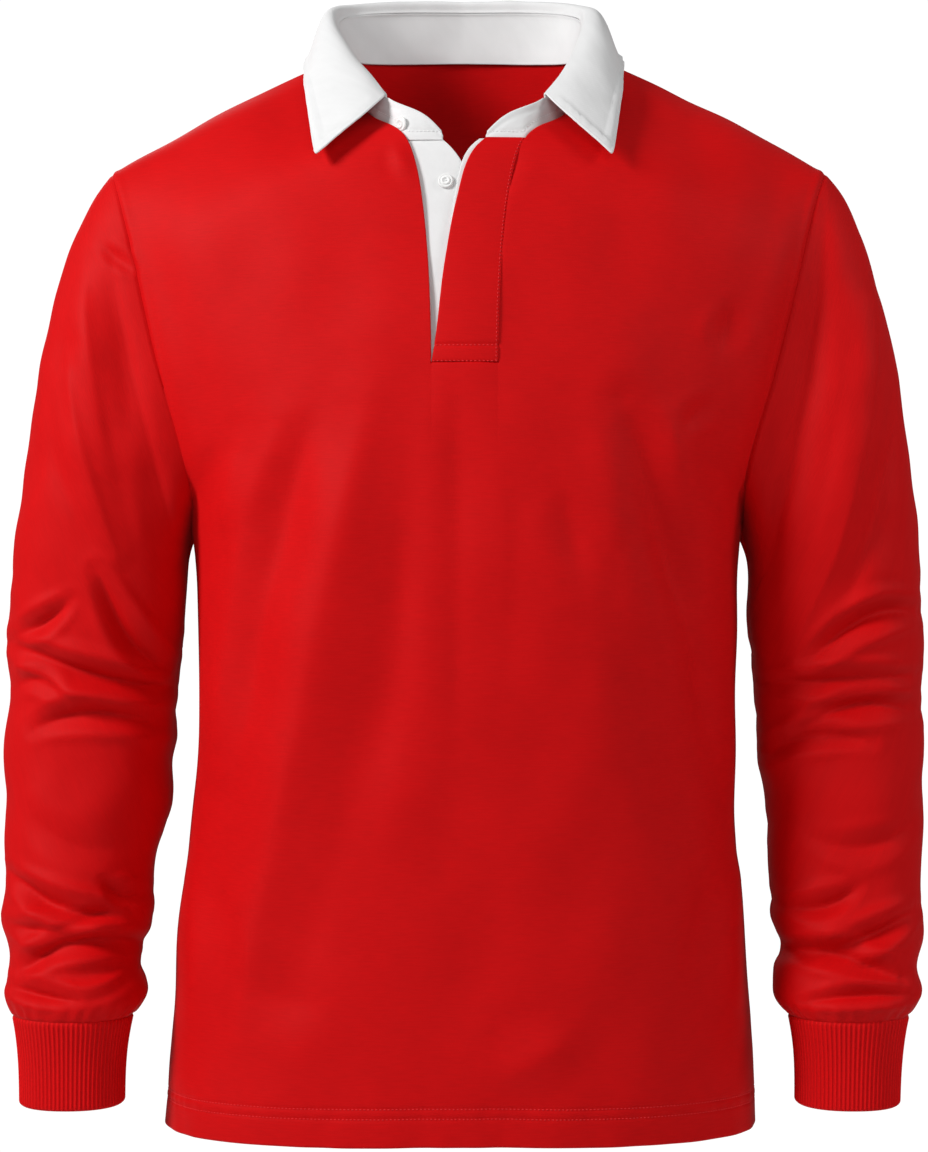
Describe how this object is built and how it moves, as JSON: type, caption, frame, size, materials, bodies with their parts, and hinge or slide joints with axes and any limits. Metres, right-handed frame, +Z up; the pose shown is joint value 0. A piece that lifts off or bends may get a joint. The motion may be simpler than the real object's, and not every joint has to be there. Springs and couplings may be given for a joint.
{
  "type": "rugby shirt",
  "caption": "Long-sleeved rugby shirt in worn shape: red jersey body, ribbed cuffs, white twill collar on a buttoned band and a half-open placket over a white underlap.",
  "frame": {"origin": "where the wearer's neck and shoulders hold the shirt: between the two shoulder neck points, 4 mm below the line that joins them and 4 mm in front of it", "axes": "+Z up, the front faces -Y, +X is the wearer's left"},
  "size_m": [0.6296, 0.2462, 0.7823],
  "materials": {
    "jersey_red": "matt cotton jersey",
    "rib_red": "matt cotton rib",
    "twill_white": "matt cotton twill",
    "button_white": "semi-gloss"
  },
  "bodies": {
    "root": {"front": "jersey_red", "back": "jersey_red", "sleeve_left": "jersey_red", "sleeve_right": "jersey_red", "placket_overlap": "jersey_red", "cuff_left": "rib_red", "cuff_right": "rib_red", "collar_band": "twill_white", "collar_leaf": "twill_white", "placket_facing": "twill_white", "placket_underlap": "twill_white", "button_neck": "button_white", "button_placket": "button_white"}
  },
  "joints": []
}
